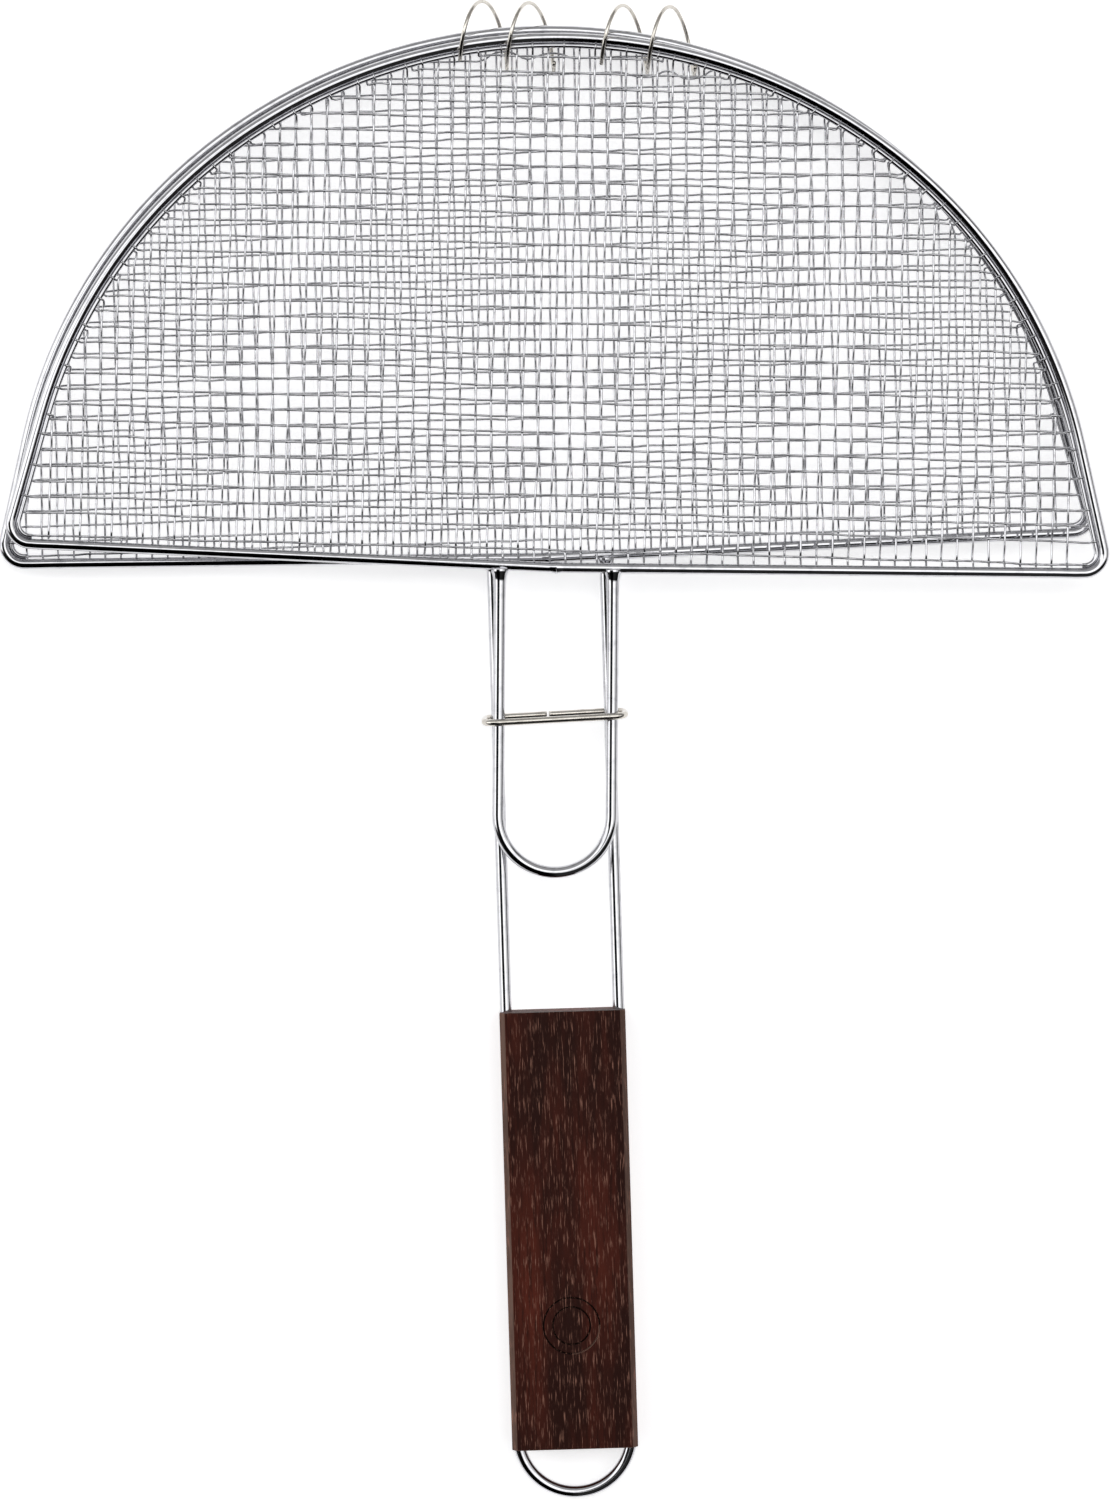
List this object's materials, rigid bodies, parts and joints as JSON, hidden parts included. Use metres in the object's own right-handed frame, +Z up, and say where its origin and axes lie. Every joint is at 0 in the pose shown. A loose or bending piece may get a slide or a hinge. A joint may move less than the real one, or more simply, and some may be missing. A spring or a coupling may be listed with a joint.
{
  "type": "grill basket",
  "caption": "Half-moon wire-mesh grill basket: two leaves on loose coil hinges, a sliding clip ring over both handles, and a wooden grip with a hanging loop.",
  "frame": {"origin": "centre of the wooden grip's flat underside, which is what the basket rests on at the handle end", "axes": "+Y from the grip to the hinge, along the long handle; +Z up, square to the base leaf, towards the lid leaf; +X along the base leaf's straight bar"},
  "size_m": [0.3337, 0.4516, 0.0211],
  "materials": {
    "chrome_wire": "plated, bright, slightly uneven along the wire",
    "steel_wire": "plain stainless spring wire, satin",
    "grip_wood": "oiled dark red-brown hardwood, fine open pores along the grain"
  },
  "bodies": {
    "base": {"base_rim": "chrome_wire", "base_binding_wire": "chrome_wire", "base_mesh_long_wires": "chrome_wire", "base_mesh_cross_wires": "chrome_wire", "handle_wire": "chrome_wire", "grip": "grip_wood"},
    "coils": {"coil_left": "steel_wire", "coil_right": "steel_wire"},
    "lid": {"lid_rim": "chrome_wire", "lid_binding_wire": "chrome_wire", "lid_mesh_long_wires": "chrome_wire", "lid_mesh_cross_wires": "chrome_wire", "short_loop": "chrome_wire"},
    "clip": {"clip_ring": "steel_wire"}
  },
  "joints": [
    {"name": "coils_in_base", "type": "hinge", "parent": "base", "child": "coils", "pos_m": [0.00608, 0.35972, 0.00784], "axis": [-0.9983, 0.0576, 0], "range_deg": [0, 90]},
    {"name": "lid_on_coils", "type": "hinge", "parent": "coils", "child": "lid", "pos_m": [0.00592, 0.35708, 0.01336], "axis": [-0.9983, 0.0576, 0], "range_deg": [0, 90]},
    {"name": "clip_slide", "type": "slide", "parent": "base", "child": "clip", "axis": [0, -1, 0], "range_m": [-0.022, 0.062]}
  ],
  "couplings": [
    {"joint": "lid_on_coils", "follows": "coils_in_base", "ratio": 1}
  ]
}
